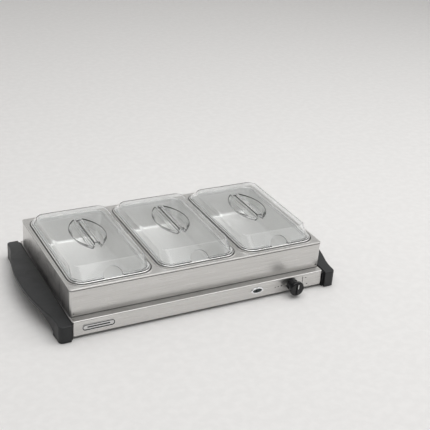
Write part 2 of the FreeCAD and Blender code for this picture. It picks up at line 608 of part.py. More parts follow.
def finger_well(growth, floor_z, top_z, side, cx):
    """Half-moon pocket beside the fin; growth makes the thicker block the pocket is cut from."""
    lower = well_wire(WELL_INNER + 1.5 - growth, WELL_OUTER - 8.0 + growth,
                      WELL_HALF_LENGTH - 9.0 + growth, floor_z, side, cx)
    upper = well_wire(WELL_INNER - growth, WELL_OUTER + growth,
                      WELL_HALF_LENGTH + growth, top_z, side, cx)
    pocket = Part.makeLoft([lower, upper], True, True)
    return pocket.makeFillet(3.0, edges_at(pocket, floor_z))


def make_lid(cx):
    """Clear lid: flange, skirt, sloped walls, two finger wells beside a fin, spoon notch in front."""
    flange = round_block(PAN_RIM_WIDTH - 4, PAN_RIM_LENGTH - 4, PAN_RIM_RADIUS - 2,
                         PAN_RIM_Z, LID_FLANGE_Z, cx)
    flange = flange.makeFillet(0.7, edges_at(flange, LID_FLANGE_Z))
    skirt = round_block(146.0, 261.0, 20.0, LID_SKIRT_Z, PAN_RIM_Z + 0.5, cx)
    foot_z = LID_FLANGE_Z - 0.5
    wall = tapered((LID_FOOT_WIDTH, LID_FOOT_LENGTH, 22.0, foot_z),
                   (LID_TOP_WIDTH, LID_TOP_LENGTH, 18.0, LID_TOP_Z), cx)
    wall = wall.makeFillet(4.0, edges_at(wall, LID_TOP_Z))
    ceiling = LID_TOP_Z - LID_WALL
    walls = 2 * LID_WALL
    hollow = tapered((LID_FOOT_WIDTH - walls, LID_FOOT_LENGTH - walls, 20.0, foot_z),
                     (LID_TOP_WIDTH - walls, LID_TOP_LENGTH - walls, 16.0, ceiling), cx)
    hollow = hollow.makeFillet(3.0, edges_at(hollow, ceiling))
    throat = round_block(142.4, 257.4, 18.2, LID_SKIRT_Z - 1, LID_FLANGE_Z, cx)

    fin_top = LID_TOP_Z + FIN_RISE
    fin_half = WELL_HALF_LENGTH - 6.0
    fin = block(cx - FIN_HALF_WIDTH, cx + FIN_HALF_WIDTH, GRIP_Y - fin_half, GRIP_Y + fin_half,
                LID_TOP_Z - 1, fin_top)
    fin = fin.makeFillet(2.5, [e for e in fin.Edges if e.BoundBox.ZMax > LID_TOP_Z])
    under_fin = FIN_HALF_WIDTH - LID_WALL
    slot = block(cx - under_fin, cx + under_fin, GRIP_Y - fin_half + LID_WALL,
                 GRIP_Y + fin_half - LID_WALL, ceiling - 1, fin_top - LID_WALL)
    floor_z = LID_TOP_Z - WELL_DEPTH
    for side in (-1, 1):
        hollow = hollow.cut(finger_well(LID_WALL, floor_z - LID_WALL, LID_TOP_Z + 1, side, cx))
    shell = flange.fuse([skirt, wall, fin]).cut(throat.fuse(hollow)).cut(slot)
    for side in (-1, 1):
        shell = shell.cut(finger_well(0.0, floor_z, LID_TOP_Z + 0.5, side, cx))

    foot_y = -LID_FOOT_LENGTH / 2
    slope = Vector(0, (LID_FOOT_LENGTH - LID_TOP_LENGTH) / 2, LID_TOP_Z - LID_FLANGE_Z)
    normal = Vector(0, -slope.z, slope.y).normalize()
    foot = Vector(cx, foot_y, LID_FLANGE_Z)
    shell = shell.cut(rod(NOTCH_RADIUS, foot - normal * 9, foot + normal * 30))
    shell = shell.cut(block(cx - NOTCH_RADIUS, cx + NOTCH_RADIUS, foot_y - 10, foot_y + 8,
                            LID_SKIRT_Z - 1, LID_FLANGE_Z))
    return shell.removeSplitter()


# ---------------------------------------------------------------- assembly


def build_base():
    """Everything that stays on the table."""
    save("tray_top", make_tray_top())
    save("bottom_cover", make_bottom_cover())
    cover_screws = [screw(1.5, 6.0, 3.2, 1.7, Vector(x, y, COVER_BOTTOM_Z), UPWARD)
                    for x, y in COVER_PLACES]
    save("cover_screws", cover_screws)
    save("rubber_feet", make_feet())
    save("foot_screws", [screw(2.0, 8.0, 3.8, 1.8, Vector(x, y, 3.2), UPWARD) for x, y in FOOT_PLACES])

    save("heat_spreader", round_block(500.0, 270.0, 6.0, SPREADER_Z, SPREADER_TOP_Z))
    save("heating_element", make_heating_element())
    save("insulation_pad", round_block(480.0, 256.0, 4.0, PAD_Z, PAD_TOP_Z))
    plate = round_block(500.0, 266.0, 4.0, PLATE_Z, PAD_Z)
    studs = []
    nuts = []
    for x, y in STUD_PLACES:
        stud = rod(2.0, Vector(x, y, PLATE_Z - 5), Vector(x, y, SPREADER_Z))
        plate = plate.cut(rod(2.0, Vector(x, y, PLATE_Z - 1), Vector(x, y, PAD_Z + 1)))
        turns = [k * math.pi / 3 for k in range(7)]
        hexagon = Part.makePolygon([Vector(x + 4 * math.cos(turn), y + 4 * math.sin(turn), PLATE_Z - 3.2)
                                    for turn in turns])
        nut = Part.Face(hexagon).extrude(Vector(0, 0, 3.2))
        studs.append(stud)
        nuts.append(nut.cut(stud))
    save("reflector_plate", plate)
    save("spreader_studs", studs)
    save("reflector_nuts", nuts)

    thermostat, bracket = make_thermostat()
    save("thermostat_body", thermostat)
    save("thermostat_bracket", bracket)
    screws = [screw(1.5, 6.0, 2.6, 1.3, Vector(x, FRONT_Y, KNOB_Z), ALONG_Y) for x in THERMOSTAT_SCREW_X]
    save("thermostat_screws", screws)

    fuse_y = -131.6
    fuse_z = SPREADER_Z - 2.2
    fuse = rod(2.0, Vector(-50, fuse_y, fuse_z), Vector(-36, fuse_y, fuse_z))
    save("thermal_fuse", fuse)
    clip = block(-46, -40, fuse_y - 3.2, fuse_y + 3.2, SPREADER_Z - 5.0, SPREADER_Z).cut(fuse)
    clip = clip.cut(block(-50, -36, fuse_y - 2.4, fuse_y + 2.4, fuse_z, SPREADER_Z + 1))
    save("fuse_clip", clip)

    lens, bezel, lamp, lamp_clip = make_indicator()
    save("indicator_lens", lens)
    save("indicator_bezel", bezel)
    save("indicator_lamp", lamp)
    save("lamp_clip", lamp_clip)
    save("badge_plate", make_badge())
    save("cord_gland", make_gland())
    terminal_block, terminal_screws = make_terminal_block()
    save("terminal_block", terminal_block)
    save("terminal_screws", terminal_screws)
    save("earth_screw", screw(1.5, SHEET, 3.0, 2.0, EARTH_SPOT, ALONG_Y))


def build_wiring():
    """Insulated leads that run low along the right end and the front."""
    radius, bend = 1.2, 6.0
    run_x, low, back_y, front_y = 257.0, 13.0, 156.0, -148.0
    thermostat_back = -129.5
    save("wire_live", tube([
        Vector(158.5, 146.0, 12.0), Vector(228.0, 146.0, 12.0), Vector(run_x, 128.0, low),
        Vector(run_x, -112.0, low), Vector(232.0, thermostat_back + 1, KNOB_Z - 4),
        Vector(KNOB_X + 12.0, thermostat_back + 3.0, KNOB_Z - 4)], radius, bend))
    save("wire_switched", tube([
        Vector(KNOB_X - 12.0, thermostat_back + 3.0, KNOB_Z - 4), Vector(150.0, -128.0, low),
        Vector(60.0, -146.0, low), Vector(-20.0, -146.0, low),
        Vector(-34.0, -140.0, 20.0)], radius, bend))
    save("wire_neutral", tube([
        Vector(121.5, 146.0, 12.0), Vector(80.0, 146.0, 12.0), Vector(20.0, back_y - 6, low),
        Vector(-240.0, back_y - 6, low), Vector(-257.0, 130.0, low),
        Vector(-257.0, 60.0, low)], radius, bend))
    save("wire_earth", tube([
        Vector(GLAND_X + 6, 150.0, 14.0), Vector(205.0, 153.0, 13.0),
        Vector(216.0, 158.0, 13.5)], radius, 3.0))
    leads = []
    for side in (-1, 1):
        leads.append(tube([
            Vector(LAMP_X + side * 1.6, FRONT_Y + 20, LAMP_Z),
            Vector(LAMP_X + side * 1.6, -138.0, LAMP_Z),
            Vector(LAMP_X + side * 12.0, -137.0, LAMP_Z - 2)], 0.8, 3.0))
    save("lamp_leads", leads)


def build_handles():
    """Two mirrored end handles and their screws, driven from inside the base."""
    right = make_right_handle()
    save("right_handle", right)
    save("left_handle", right.mirror(Vector(0, 0, 0), Vector(1, 0, 0)))
    screws = []
    for side in (-1, 1):
        for y, z in HANDLE_SCREW_PLACES:
            seat = Vector(side * (SIDE_X - SHEET), y, z)
            screws.append(screw(2.0, 7.5, 3.8, 2.0, seat, Vector(side, 0, 0)))
    save("handle_screws", screws)


def build_knob():
    """Everything that turns with the control knob."""
    knob, pointer, clip, shaft = make_knob()
    save("control_knob", knob)
    save("pointer_insert", pointer)
    save("knob_clip", clip)
    save("thermostat_shaft", shaft)


def build_serving_part():
    """Frame, pans and lids."""
    save("buffet_frame", make_buffet_frame())
    for name, cx in zip(PAN_NAMES, PAN_CENTRES):
        save("pan_" + name, make_pan(cx))
        save("lid_" + name, make_lid(cx))


os.makedirs("parts", exist_ok=True)
build_base()
build_wiring()
build_handles()
build_knob()
build_serving_part()
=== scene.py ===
import json
import logging
import math
from dataclasses import dataclass, field
from enum import Enum

import bmesh
import bpy
from mathutils import Matrix, Vector


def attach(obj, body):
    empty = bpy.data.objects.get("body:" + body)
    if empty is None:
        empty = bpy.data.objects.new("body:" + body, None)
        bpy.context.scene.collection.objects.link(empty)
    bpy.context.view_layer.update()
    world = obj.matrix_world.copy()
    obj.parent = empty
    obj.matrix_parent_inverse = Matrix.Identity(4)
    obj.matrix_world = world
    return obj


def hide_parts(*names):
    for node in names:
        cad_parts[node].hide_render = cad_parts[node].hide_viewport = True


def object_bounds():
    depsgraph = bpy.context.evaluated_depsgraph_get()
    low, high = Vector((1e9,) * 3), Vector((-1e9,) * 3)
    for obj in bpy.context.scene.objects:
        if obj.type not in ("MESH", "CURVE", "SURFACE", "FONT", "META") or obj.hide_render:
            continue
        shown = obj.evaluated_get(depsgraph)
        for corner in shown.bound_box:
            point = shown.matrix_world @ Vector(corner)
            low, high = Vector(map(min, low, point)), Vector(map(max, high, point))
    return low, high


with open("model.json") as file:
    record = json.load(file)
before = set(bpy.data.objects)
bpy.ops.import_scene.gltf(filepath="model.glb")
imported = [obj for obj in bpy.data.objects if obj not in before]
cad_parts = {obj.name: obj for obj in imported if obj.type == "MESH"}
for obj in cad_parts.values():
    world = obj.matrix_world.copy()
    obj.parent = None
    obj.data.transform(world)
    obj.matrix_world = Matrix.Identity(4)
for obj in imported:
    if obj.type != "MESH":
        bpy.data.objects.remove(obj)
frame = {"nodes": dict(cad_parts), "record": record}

CAD_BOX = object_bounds()
MM = 0.001
LOG = logging.getLogger("buffet_server")

SIDES = ("left", "centre", "right")

# The row of pans, in millimetres of the row frame.
PAN_PITCH = 176.7
PAN_RIM = (161.0, 276.0, 27.0)  # width, length and corner radius
MIDDLE_Y = 9.95  # middle of the frame and the pans, front to back

# Divisions of a quarter turn.
PILL_STEPS = 10
SMALL_STEPS = 6
RIM_STEPS = 12

Colour = tuple[float, float, float]
Outline = list[tuple[float, float]]
Ring = list[Vector]


# ---------------------------------------------------------------- node helpers


@dataclass
class Sketch:
    """Adds and joins the nodes of one shader tree.

    Attributes:
        tree: the material's or group's node tree.
    """

    tree: bpy.types.NodeTree

    def add(self, kind: str, **settings: object) -> bpy.types.Node:
        """Adds a node.

        Args:
            kind: node type without the "ShaderNode" prefix.
            settings: node properties to set.

        Returns:
            The new node.
        """
        node = self.tree.nodes.new("ShaderNode" + kind)
        for name, value in settings.items():
            setattr(node, name, value)
        return node

    def feed(self, source: object, target: bpy.types.NodeSocket) -> None:
        """Joins a socket to an input, or writes a plain value into it.

        Args:
            source: an output socket, a number, a vector or a colour.
            target: the input socket.
        """
        if isinstance(source, bpy.types.NodeSocket):
            self.tree.links.new(source, target)
        elif isinstance(source, (tuple, list)) and len(source) == 3 and target.type == "RGBA":
            target.default_value = (*source, 1.0)
        else:
            target.default_value = source

    def noise(self, vector: object, scale: object, detail: float = 2.0) -> bpy.types.NodeSocket:
        """Adds a noise texture.

        Args:
            vector: coordinate socket.
            scale: number or socket.
            detail: octaves of noise.

        Returns:
            The noise value, about 0.3 to 0.7.
        """
        node = self.add("TexNoise", noise_dimensions="3D")
        self.feed(vector, node.inputs["Vector"])
        self.feed(scale, node.inputs["Scale"])
        node.inputs["Detail"].default_value = detail
        return node.outputs["Fac"]

    def spread(self, value: object, low: float, high: float, to_low: object,
               to_high: object) -> bpy.types.NodeSocket:
        """Maps a value from one range to another, clamped.

        Args:
            value: socket to map.
            low: value that becomes to_low.
            high: value that becomes to_high.
            to_low: number or socket.
            to_high: number or socket.

        Returns:
            The mapped value's socket.
        """
        node = self.add("MapRange", clamp=True)
        for name, item in zip(("Value", "From Min", "From Max", "To Min", "To Max"),
                              (value, low, high, to_low, to_high)):
            self.feed(item, node.inputs[name])
        return node.outputs["Result"]

    def sum(self, operation: str, first: object, second: object) -> bpy.types.NodeSocket:
        """Adds a Math node.

        Args:
            operation: the Math node's operation.
            first: first number or socket.
            second: second number or socket.

        Returns:
            The result's socket.
        """
        node = self.add("Math", operation=operation)
        self.feed(first, node.inputs[0])
        self.feed(second, node.inputs[1])
        return node.outputs[0]

    def blend(self, factor: object, first: object, second: object) -> bpy.types.NodeSocket:
        """Mixes two colours.

        Args:
            factor: share of the second colour.
            first: colour or socket.
            second: colour or socket.

        Returns:
            The mixed colour's socket.
        """
        node = self.add("Mix", data_type="RGBA", blend_type="MIX")
        self.feed(factor, node.inputs["Factor"])
        self.feed(first, node.inputs[6])
        self.feed(second, node.inputs[7])
        return node.outputs[2]

    def object_place(self) -> bpy.types.NodeSocket:
        """Gives the object coordinates, which are the row frame's metres."""
        return self.add("TexCoord").outputs["Object"]

    def group_end(self, kind: str) -> bpy.types.Node:
        """Adds a group's own input or output node."""
        return self.tree.nodes.new(kind)


class Effect(Enum):
    """The shared effects, by the name of their node group."""

    GRAIN = "brushed_grain"
    SMUDGE = "hand_smudge"
    EDGE = "edge_rub"
    DUST = "fine_dust"
    MOULD = "mould_texture"


@dataclass
class GroupMaker:
    """Builds a shared node group with named sockets.

    Attributes:
        effect: which effect the group makes.
        inputs: socket names with their starting values; a tuple makes a vector.
        outputs: names of the number outputs.
    """

    effect: Effect
    inputs: dict[str, object]
    outputs: tuple[str, ...]

    def open(self) -> tuple[Sketch, bpy.types.Node, bpy.types.Node]:
        """Makes the empty group.

        Returns:
            The sketch, the group's input node and its output node.
        """
        tree = bpy.data.node_groups.new(self.effect.value, "ShaderNodeTree")
        for name, value in self.inputs.items():
            kind = "NodeSocketVector" if isinstance(value, tuple) else "NodeSocketFloat"
            socket = tree.interface.new_socket(name=name, in_out="INPUT", socket_type=kind)
            socket.default_value = value
        for name in self.outputs:
            tree.interface.new_socket(name=name, in_out="OUTPUT", socket_type="NodeSocketFloat")
        sketch = Sketch(tree)
        return sketch, sketch.group_end("NodeGroupInput"), sketch.group_end("NodeGroupOutput")


def make_brushed_grain() -> None:
    """Fine lines along the axis of small stretch, which run down the folded end faces."""
    sketch, start, end = GroupMaker(
        Effect.GRAIN, {"Stretch": (1.0, 1.0, 1.0), "Scale": 1.0}, ("Line", "Height")).open()
    place = sketch.add("SeparateXYZ")
    sketch.feed(sketch.object_place(), place.inputs[0])
    facing = sketch.add("SeparateXYZ")
    sketch.feed(sketch.add("NewGeometry").outputs["Normal"], facing.inputs[0])
    on_end = sketch.sum("GREATER_THAN", sketch.sum("ABSOLUTE", facing.outputs["X"], 0.0), 0.75)
    folded = sketch.add("CombineXYZ")
    for axis, other in (("X", "Z"), ("Z", "X")):
        kept = sketch.sum("MULTIPLY", place.outputs[axis], sketch.sum("SUBTRACT", 1.0, on_end))
        turned = sketch.sum("MULTIPLY", place.outputs[other], on_end)
        sketch.feed(sketch.sum("ADD", kept, turned), folded.inputs[axis])
    sketch.feed(place.outputs["Y"], folded.inputs["Y"])
    mapping = sketch.add("Mapping")
    sketch.feed(folded.outputs["Vector"], mapping.inputs["Vector"])
    sketch.feed(start.outputs["Stretch"], mapping.inputs["Scale"])
    fine = sketch.noise(mapping.outputs["Vector"], start.outputs["Scale"], 3.0)
    coarse_scale = sketch.sum("MULTIPLY", start.outputs["Scale"], 0.23)
    coarse = sketch.noise(mapping.outputs["Vector"], coarse_scale, 2.0)
    both = sketch.sum("ADD", sketch.sum("MULTIPLY", fine, 0.65), sketch.sum("MULTIPLY", coarse, 0.35))
    line = sketch.spread(both, 0.36, 0.64, 0.0, 1.0)
    sketch.feed(line, end.inputs["Line"])
    sketch.feed(fine, end.inputs["Height"])


def make_hand_smudge() -> None:
    """Broad soft patches where hands and cloths have been."""
    sketch, start, end = GroupMaker(Effect.SMUDGE, {"Scale": 22.0, "Seed": 0.0}, ("Mask",)).open()
    shift = sketch.add("VectorMath", operation="ADD")
    sketch.feed(sketch.object_place(), shift.inputs[0])
    offset = sketch.add("CombineXYZ")
    sketch.feed(start.outputs["Seed"], offset.inputs["X"])
    sketch.feed(offset.outputs["Vector"], shift.inputs[1])
    warp = sketch.add("TexNoise", noise_dimensions="3D")
    sketch.feed(shift.outputs["Vector"], warp.inputs["Vector"])
    sketch.feed(start.outputs["Scale"], warp.inputs["Scale"])
    warp.inputs["Detail"].default_value = 5.0
    warp.inputs["Distortion"].default_value = 1.4
    sketch.feed(sketch.spread(warp.outputs["Fac"], 0.42, 0.68, 0.0, 1.0), end.inputs["Mask"])


def make_edge_rub() -> None:
    """Marks edges, where a finish is rubbed brighter."""
    sketch, start, end = GroupMaker(Effect.EDGE, {"Width": 0.001}, ("Mask",)).open()
    bevel = sketch.add("Bevel", samples=4)
    sketch.feed(start.outputs["Width"], bevel.inputs["Radius"])
    geometry = sketch.add("NewGeometry")
    dot = sketch.add("VectorMath", operation="DOT_PRODUCT")
    sketch.feed(bevel.outputs["Normal"], dot.inputs[0])
    sketch.feed(geometry.outputs["Normal"], dot.inputs[1])
    uneven = sketch.noise(sketch.object_place(), 160.0, 3.0)
    turned = sketch.spread(dot.outputs["Value"], 0.995, 0.80, 0.0, 1.0)
    broken = sketch.sum("MULTIPLY", turned, sketch.spread(uneven, 0.35, 0.6, 0.25, 1.0))
    sketch.feed(broken, end.inputs["Mask"])


def make_fine_dust() -> None:
    """Thin dust on faces that look up."""
    sketch, start, end = GroupMaker(Effect.DUST, {"Amount": 0.1}, ("Mask",)).open()
    geometry = sketch.add("NewGeometry")
    split = sketch.add("SeparateXYZ")
    sketch.feed(geometry.outputs["Normal"], split.inputs[0])
    upward = sketch.spread(split.outputs["Z"], 0.2, 1.0, 0.0, 1.0)
    specks = sketch.spread(sketch.noise(sketch.object_place(), 900.0, 3.0), 0.45, 0.7, 0.1, 1.0)
    drift = sketch.spread(sketch.noise(sketch.object_place(), 14.0, 3.0), 0.35, 0.65, 0.3, 1.0)
    amount = sketch.sum("MULTIPLY", sketch.sum("MULTIPLY", specks, drift), upward)
    sketch.feed(sketch.sum("MULTIPLY", amount, start.outputs["Amount"]), end.inputs["Mask"])


def make_mould_texture() -> None:
    """Fine leathery grain of textured moulded plastic."""
    sketch, start, end = GroupMaker(Effect.MOULD, {"Scale": 1500.0}, ("Height", "Tone")).open()
    place = sketch.object_place()
    cells = sketch.add("TexVoronoi", feature="SMOOTH_F1")
    sketch.feed(place, cells.inputs["Vector"])
    sketch.feed(start.outputs["Scale"], cells.inputs["Scale"])
    grit = sketch.noise(place, sketch.sum("MULTIPLY", start.outputs["Scale"], 1.7), 2.0)
    height = sketch.sum("ADD", sketch.sum("MULTIPLY", cells.outputs["Distance"], 0.7), grit)
    sketch.feed(height, end.inputs["Height"])
    tone = sketch.spread(sketch.noise(place, 18.0, 4.0), 0.35, 0.65, 0.0, 1.0)
    sketch.feed(tone, end.inputs["Tone"])


def make_shared_effects() -> None:
    """Builds every shared node group once."""
    make_brushed_grain()
    make_hand_smudge()
    make_edge_rub()
    make_fine_dust()
    make_mould_texture()


# ---------------------------------------------------------------- finishes


RUBBED_STEEL: Colour = (0.86, 0.86, 0.85)
DUST_ON_STEEL: Colour = (0.55, 0.53, 0.50)
DUST_ON_PLASTIC: Colour = (0.42, 0.40, 0.38)
DUST_ON_MINERAL: Colour = (0.5, 0.5, 0.48)


@dataclass
class Paintwork:
    """A material under construction, with its Principled shader.

    Attributes:
        name: the material's name.
        material: the material.
        sketch: draws in the material's tree.
        shader: the Principled shader.
        surface: the tree's output node.
    """

    name: str
    material: bpy.types.Material = field(init=False)
    sketch: Sketch = field(init=False)
    shader: bpy.types.Node = field(init=False)
    surface: bpy.types.Node = field(init=False)

    def __post_init__(self) -> None:
        """Opens a clean node tree with a Principled shader on its output."""
        self.material = bpy.data.materials.new(self.name)
        self.material.use_nodes = True
        tree = self.material.node_tree
        tree.nodes.clear()
        self.sketch = Sketch(tree)
        self.surface = self.sketch.add("OutputMaterial")
        self.shader = self.sketch.add("BsdfPrincipled")
        tree.links.new(self.shader.outputs["BSDF"], self.surface.inputs["Surface"])

    def effect(self, effect: Effect, **values: object) -> bpy.types.Node:
        """Places a shared effect.

        Args:
            effect: which group.
            values: socket values, with spaces in names written as underscores.

        Returns:
            The group node.
        """
        node = self.sketch.add("Group")
        node.node_tree = bpy.data.node_groups[effect.value]
        for name, value in values.items():
            self.sketch.feed(value, node.inputs[name.replace("_", " ")])
        return node

    def plain(self, **values: object) -> None:
        """Sets constant values on the shader's own sockets, by name with underscores."""
        for name, value in values.items():
            self.sketch.feed(value, self.shader.inputs[name.replace("_", " ")])

    def bump(self, height: bpy.types.NodeSocket, distance: float, strength: float = 1.0) -> None:
        """Raises the surface by a height.

        Args:
            height: height socket.
            distance: metres per unit of height.
            strength: share of the effect.
        """
        node = self.sketch.add("Bump")
        node.inputs["Distance"].default_value = distance
        node.inputs["Strength"].default_value = strength
        self.sketch.feed(height, node.inputs["Height"])
        self.sketch.feed(node.outputs["Normal"], self.shader.inputs["Normal"])


class Brush(Enum):
    """Direction of a brushed grain, as the noise's stretch along X, Y and Z."""

    ALONG_X = (18.0, 2600.0, 2600.0)
    PRESSED = (1500.0, 700.0, 1500.0)


@dataclass(frozen=True)
class Steel:
    """Stainless or plated sheet steel.

    Attributes:
        name: material name.
        bright: colour of the polished lines.
        dull: colour of the lines between.
        brush: direction of the grain.
        low_gloss: roughness of the polished lines.
        high_gloss: roughness of the dull lines.
        relief: depth of the grain in metres.
        smudges: how much hand marks change the gloss.
        dust: amount of dust.
    """

    name: str
    bright: Colour = (0.72, 0.71, 0.70)
    dull: Colour = (0.60, 0.59, 0.57)
    brush: Brush = Brush.ALONG_X
    low_gloss: float = 0.24
    high_gloss: float = 0.38
    relief: float = 0.00002
    smudges: float = 0.06
    dust: float = 0.05

    def make(self) -> bpy.types.Material:
        """Builds the material.

        Returns:
            The material.
        """
        work = Paintwork(self.name)
        sketch = work.sketch
        grain = work.effect(Effect.GRAIN, Stretch=self.brush.value)
        smudge = work.effect(Effect.SMUDGE, Scale=16.0, Seed=len(self.name) * 0.7)
        rub = work.effect(Effect.EDGE, Width=0.0012)
        dust = work.effect(Effect.DUST, Amount=self.dust)
        colour = sketch.blend(grain.outputs["Line"], self.dull, self.bright)
        rubbed = sketch.blend(sketch.sum("MULTIPLY", rub.outputs["Mask"], 0.5), colour, RUBBED_STEEL)
        dusted = sketch.blend(dust.outputs["Mask"], rubbed, DUST_ON_STEEL)
        gloss = sketch.spread(grain.outputs["Line"], 0.0, 1.0, self.high_gloss, self.low_gloss)
        marked = sketch.sum("ADD", gloss, sketch.sum("MULTIPLY", smudge.outputs["Mask"], self.smudges))
        work.plain(Metallic=1.0, Base_Color=dusted, Roughness=marked)
        work.bump(grain.outputs["Height"], self.relief)
        return work.material


@dataclass(frozen=True)
class Moulding:
    """Textured or glossy moulded plastic and rubber.

    Attributes:
        name: material name.
        dark: colour in the recesses.
        light: colour where the surface catches wear.
        gloss: roughness.
        texture: cells per metre of the moulded grain.
        relief: depth of the grain in metres.
        wear: strength of the rubbed edges.
        dust: amount of dust.
        specular: strength of the plain reflection.
    """

    name: str
    dark: Colour
    light: Colour
    gloss: float = 0.45
    texture: float = 1500.0
    relief: float = 0.00003
    wear: float = 0.25
    dust: float = 0.08
    specular: float = 0.5

    def make(self) -> bpy.types.Material:
        """Builds the material.

        Returns:
            The material.
        """
        work = Paintwork(self.name)
        sketch = work.sketch
        mould = work.effect(Effect.MOULD, Scale=self.texture)
        smudge = work.effect(Effect.SMUDGE, Scale=30.0, Seed=len(self.name) * 1.3)
        rub = work.effect(Effect.EDGE, Width=0.0009)
        dust = work.effect(Effect.DUST, Amount=self.dust)
        tone = sketch.sum("MULTIPLY", mould.outputs["Tone"], 0.35)
        colour = sketch.blend(tone, self.dark, self.light)
        worn = sketch.blend(sketch.sum("MULTIPLY", rub.outputs["Mask"], self.wear), colour, self.light)
        dusted = sketch.blend(dust.outputs["Mask"], worn, DUST_ON_PLASTIC)
        marked = sketch.spread(smudge.outputs["Mask"], 0.0, 1.0, self.gloss, self.gloss + 0.09)
        work.plain(Base_Color=dusted, Roughness=marked, Specular_IOR_Level=self.specular)
        work.bump(mould.outputs["Height"], self.relief)
        return work.material


@dataclass(frozen=True)
class ClearPlastic:
    """Clear or tinted plastic that lets lamps through.

    Attributes:
        name: material name.
        tint: colour of the plastic.
        gloss: roughness.
        ripple: height of the moulding's waviness in metres.
    """

    name: str
    tint: Colour = (0.985, 0.99, 0.99)
    gloss: float = 0.02
    ripple: float = 0.00003

    def make(self) -> bpy.types.Material:
        """Builds the material.

        Returns:
            The material.
        """
        work = Paintwork(self.name)
        sketch = work.sketch
        smudge = work.effect(Effect.SMUDGE, Scale=26.0, Seed=3.0)
        gloss = sketch.spread(smudge.outputs["Mask"], 0.0, 1.0, self.gloss, self.gloss + 0.05)
        tint = sketch.blend(sketch.sum("MULTIPLY", smudge.outputs["Mask"], 0.3), self.tint,
                            tuple(0.94 * part for part in self.tint))
        work.plain(Base_Color=tint, Roughness=gloss, Transmission_Weight=1.0, IOR=1.49)
        work.bump(sketch.noise(sketch.object_place(), 28.0, 2.0), self.ripple)
        clear = sketch.add("BsdfTransparent")
        clear.inputs["Color"].default_value = (*(0.9 * part for part in self.tint), 1.0)
        path = sketch.add("LightPath")
        mix = sketch.add("MixShader")
        sketch.feed(path.outputs["Is Shadow Ray"], mix.inputs[0])
        sketch.feed(work.shader.outputs["BSDF"], mix.inputs[1])
        sketch.feed(clear.outputs["BSDF"], mix.inputs[2])
        sketch.feed(mix.outputs["Shader"], work.surface.inputs["Surface"])
        return work.material


@dataclass(frozen=True)
class Matte:
    """Dull mineral, ceramic, felt or printed finish.

    Attributes:
        name: material name.
        base: main colour.
        fleck: colour of the flecks.
        gloss: roughness.
        scale: flecks per metre.
        relief: height of the flecks in metres.
    """

    name: str
    base: Colour
    fleck: Colour
    gloss: float = 0.7
    scale: float = 700.0
    relief: float = 0.00005

    def make(self) -> bpy.types.Material:
        """Builds the material.

        Returns:
            The material.
        """
        work = Paintwork(self.name)
        sketch = work.sketch
        flecks = sketch.noise(sketch.object_place(), self.scale, 4.0)
        dust = work.effect(Effect.DUST, Amount=0.06)
        colour = sketch.blend(sketch.spread(flecks, 0.4, 0.65, 0.0, 1.0), self.base, self.fleck)
        dusted = sketch.blend(dust.outputs["Mask"], colour, DUST_ON_MINERAL)
        gloss = sketch.spread(flecks, 0.3, 0.7, self.gloss - 0.05, self.gloss + 0.08)
        work.plain(Base_Color=dusted, Roughness=gloss)
        work.bump(flecks, self.relief)
        return work.material


